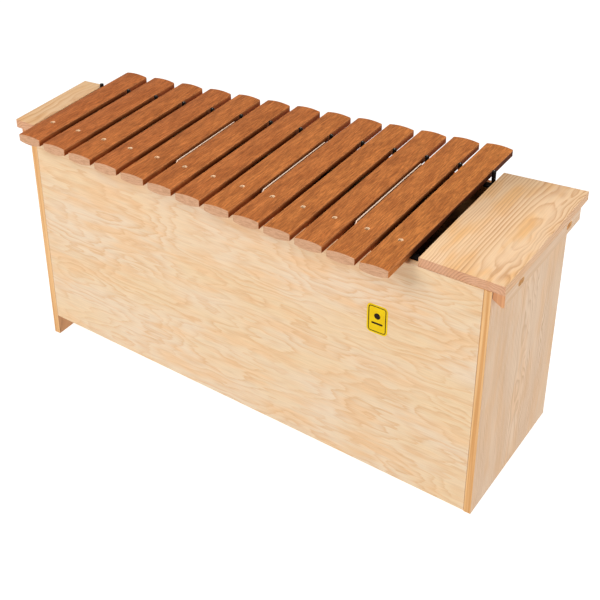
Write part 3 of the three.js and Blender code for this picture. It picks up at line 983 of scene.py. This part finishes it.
def add_peg(number, sleeve, steel):
    """A steel peg in a rubber sleeve; its narrow domed tip stands just out of the sleeve."""
    node = numbered("peg", number)
    low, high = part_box(node)
    radius = (high[0] - low[0]) / 2
    sleeve_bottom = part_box("front_cushion")[0][2]
    sleeve_top = high[2] - PEG_TIP_RISE
    profile = [(0, low[2], 1), (PEG_SHANK_RADIUS, low[2], 1), (PEG_SHANK_RADIUS, sleeve_bottom, 1)]
    profile += [(radius - PEG_RIM / 2, sleeve_bottom, 0), (radius, sleeve_bottom + PEG_RIM / 2, 0)]
    profile += arc((radius - PEG_RIM, sleeve_top - PEG_RIM), PEG_RIM, 0, 90, 4)
    profile += [(PEG_TIP_RADIUS, sleeve_top, 0), (PEG_TIP_RADIUS, high[2] - PEG_TIP_RISE / 2, 1)]
    solid = turned([*profile, (PEG_TIP_RADIUS / 2, high[2], 1), (0, high[2], 1)])
    place_upright(solid, node)
    add_piece(f"{node}_sleeve", solid, [sleeve, steel], [node])


# The bars.


def bar_ring(y, middle_x, half, low_z, high_z, arch):
    """The bar's section at y: a crowned top, upright sides and a bulged underside."""
    shares = [mix(-1, 1, i / BAR_ACROSS) for i in range(BAR_ACROSS + 1)]
    under = [(middle_x + half * s, y, low_z + max(BAR_BULGE * s * s, arch)) for s in shares]
    over = [(middle_x + half * s, y, high_z - BAR_CROWN * s * s) for s in reversed(shares)]
    return under + over


def bar_blank(low, high, arch_depth):
    """The bar before its edges are rounded."""
    middle_x, half = (low[0] + high[0]) / 2, (high[0] - low[0]) / 2
    length = high[1] - low[1]
    start = low[1] + length * (1 - ARCH_SPAN) / 2
    rings = [bar_ring(low[1], middle_x, half, low[2], high[2], 0)]
    for i in range(ARCH_STEPS + 1):
        t = i / ARCH_STEPS
        arch = arch_depth * math.sin(math.pi * t) ** 2
        rings.append(bar_ring(start + length * ARCH_SPAN * t, middle_x, half, low[2], high[2], arch))
    rings.append(bar_ring(high[1], middle_x, half, low[2], high[2], 0))
    return loft(rings)


def hole_cutter(at, low_z, high_z):
    """A drill with a chamfer that eases the rim of the hole."""
    top = high_z + BAR_HOLE_RIM
    wide = BAR_HOLE_RADIUS + 2 * BAR_HOLE_RIM
    profile = [
        (0, low_z - MM, 0),
        (BAR_HOLE_RADIUS, low_z - MM, 0),
        (BAR_HOLE_RADIUS, high_z - BAR_HOLE_RIM, 0),
        (wide, top, 0),
        (0, top, 0),
    ]
    cutter = turned(profile)
    bmesh.ops.translate(cutter, vec=(at.x, at.y, 0), verts=cutter.verts)
    return cutter


def add_bar(number, raw, drilled):
    """One bar that lifts off its pin."""
    node = numbered("bar", number)
    low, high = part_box(node)
    middle_x, half = (low[0] + high[0]) / 2, (high[0] - low[0]) / 2
    share = (number - 1) / (BAR_COUNT - 1)

    def is_corner(edge):
        a, b = (vert.co for vert in edge.verts)
        return abs(a.x - b.x) < WELD and abs(a.y - b.y) < WELD

    solid = bar_blank(low, high, mix(ARCH_DEPTH["treble"], ARCH_DEPTH["bass"], share))
    round_edges(solid, BAR_CORNER, 3, is_corner)
    round_edges(solid, BAR_EDGE, 2)
    pin = centre_of(numbered("pin", number))
    solid = carved(solid, [hole_cutter(pin, low[2], high[2])])

    def in_hole(face):
        away = face.calc_center_median() - pin
        return away.xy.length < BAR_HOLE_RADIUS + BAR_HOLE_RIM and abs(face.normal.z) < STEEP_FACE

    paint(solid, 1, faces_along(1, STEEP_FACE))
    # The hole's walls are pale drilled wood with painted light on them.
    paint(solid, 2, in_hole)
    materials = [bar_wood(number, middle_x, half, high[2]), raw, drilled]
    add_piece(f"{node}_wood", solid, materials, [node], body=node)


# The label.


def front_line():
    """Two plan points on the front panel's outer face, at its treble and bass ends."""
    low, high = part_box("front_panel")
    end_low, end_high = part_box("bass_end_panel")
    wall = end_high[0] - end_low[0]
    return Vector((low[0], high[1] - wall, 0)), Vector((high[0], low[1], 0))


def rounded_outline(half_width, half_height, corner):
    """A rounded rectangle as flat (across, up) points."""
    points = []
    for quarter, (side, rise) in enumerate(((1, 1), (-1, 1), (-1, -1), (1, -1))):
        for step in range(LABEL_STEPS + 1):
            angle = math.radians(90 * (quarter + step / LABEL_STEPS))
            across = side * (half_width - corner) + corner * math.cos(angle)
            points.append((across, rise * (half_height - corner) + corner * math.sin(angle)))
    return points


def add_label():
    """A plain printed label: a coloured ground with a thin line round a dot and a band."""
    start, end = front_line()
    along = (end - start).normalized()
    outward = Vector((along.y, -along.x, 0))
    centre = start.lerp(end, LABEL_CENTRE["x_share"]) + Vector((0, 0, LABEL_CENTRE["z"]))

    def outline(half_width, half_height, corner, lift, rise=0.0):
        flat = rounded_outline(half_width, half_height, corner)
        return [centre + along * x + Vector((0, 0, y + rise)) + outward * lift for x, y in flat]

    def inset(shrink, lift):
        half_width, half_height = LABEL_SIZE["width"] / 2, LABEL_SIZE["height"] / 2
        return outline(half_width - shrink, half_height - shrink, LABEL_SIZE["corner"] - shrink, lift)

    paper = mottled("label_paper", "paper", LABEL_TONES)
    ink = mottled("label_ink", "ink", INK_TONES)
    sunk, printed = LABEL_PRINT["from"], LABEL_PRINT["to"]
    add_piece("label_ground", loft([inset(0, -LABEL_SINK), inset(0, LABEL_THICKNESS)]), [paper])
    outer, inner = LABEL_INSET, LABEL_INSET + LABEL_LINE
    corners = [(outer, sunk), (outer, printed), (inner, printed), (inner, sunk)]
    line = loft([inset(shrink, lift) for shrink, lift in corners], closed=True)
    add_piece("label_line", line, [ink])
    radius, rise = LABEL_DOT["radius"], LABEL_DOT["rise"]
    dot = loft([outline(radius, radius, radius, lift, rise) for lift in (sunk, printed)])
    add_piece("label_dot", dot, [ink])
    width, height, rise = LABEL_BAND["half_width"], LABEL_BAND["half_height"], LABEL_BAND["rise"]
    band = loft([outline(width, height, height, lift, rise) for lift in (sunk, printed)])
    add_piece("label_band", band, [ink])


# The studio.


def add_camera():
    """The one camera, without shift or depth of field."""
    camera = bpy.data.objects.new("camera", bpy.data.cameras.new("camera"))
    camera.data.sensor_width = CAMERA_SENSOR
    camera.data.lens = CAMERA_LENS
    camera.location = CAMERA_PLACE
    camera.rotation_euler = (math.pi / 2 - CAMERA_DOWN, 0, CAMERA_TURN)
    bpy.context.scene.collection.objects.link(camera)
    bpy.context.scene.camera = camera


def add_floor():
    """A grey floor that glows, so that it reads as white and meets the backdrop without a line."""
    half = FLOOR_SIZE / 2
    solid = bmesh.new()
    corners = [(-half, -half), (half, -half), (half, half), (-half, half)]
    solid.faces.new([solid.verts.new((x, y, -FLOOR_DROP)) for x, y in corners])
    floor = add_object("studio_floor", solid)
    surface = mottled("studio_floor", "floor", FLOOR_TONES)
    shader = surface.node_tree.nodes["Principled BSDF"]
    shader.inputs["Emission Color"].default_value = (1, 1, 1, 1)
    shader.inputs["Emission Strength"].default_value = FLOOR_GLOW
    floor.data.materials.append(surface)


def add_lights():
    """Square soft boxes round the object; azimuth 0 is in front of it and 90 beside the bass end."""
    target = (Vector(cad_box[0]) + Vector(cad_box[1])) / 2
    for name, light in LIGHTS.items():
        azimuth, height = math.radians(light["azimuth"]), math.radians(light["height"])
        level = math.cos(height)
        outward = Vector((math.sin(azimuth) * level, -math.cos(azimuth) * level, math.sin(height)))
        lamp = bpy.data.lights.new(name, "AREA")
        lamp.size = LIGHT_SIZE
        lamp.energy = light["power"]
        item = bpy.data.objects.new(name, lamp)
        item.location = target + outward * LIGHT_DISTANCE
        item.rotation_euler = (-outward).to_track_quat("-Z", "Y").to_euler()
        bpy.context.scene.collection.objects.link(item)


def add_backdrop():
    """An even white surround that the camera sees brighter than it lights."""
    world = bpy.data.worlds.new("studio")
    world.use_nodes = True
    bpy.context.scene.world = world
    nodes, links = world.node_tree.nodes, world.node_tree.links
    lighting = nodes["Background"]
    lighting.inputs["Color"].default_value = (1, 1, 1, 1)
    lighting.inputs["Strength"].default_value = BACKDROP_LIGHT
    seen = nodes.new("ShaderNodeBackground")
    seen.inputs["Color"].default_value = (1, 1, 1, 1)
    choice = nodes.new("ShaderNodeMixShader")
    links.new(nodes.new("ShaderNodeLightPath").outputs["Is Camera Ray"], choice.inputs["Fac"])
    links.new(lighting.outputs[0], choice.inputs[1])
    links.new(seen.outputs[0], choice.inputs[2])
    links.new(choice.outputs[0], nodes["World Output"].inputs["Surface"])


random.seed(SEED)
bpy.context.scene.view_settings.view_transform = "Standard"
add_camera()
add_floor()
add_lights()
add_backdrop()

rubber = mottled("black_rubber", "rubber", RUBBER_TONES)
sleeve = mottled("black_sleeve", "sleeve", SLEEVE_TONES)
steel = mottled("brushed_steel", "steel", STEEL_TONES)
plated = mottled("plated_screw", "plated", PLATED_TONES)
# Pale drilled wood, brightened as painted light for the hole walls.
drilled = mottled("drilled_bar_hole", "drilled", DRILLED_PAINTED_LIGHT_TONES)
raw = raw_end_grain()

add_long_boards()
add_end_panels()
add_partitions()
add_cover("treble", 1)
add_cover("bass", -1)
add_grips(plated)
add_rails()
add_cushions(rubber)
for number in range(1, BAR_COUNT + 1):
    add_pin(number, steel)
    add_bar(number, raw, drilled)
for number in range(1, PEG_COUNT + 1):
    add_peg(number, sleeve, steel)
add_label()
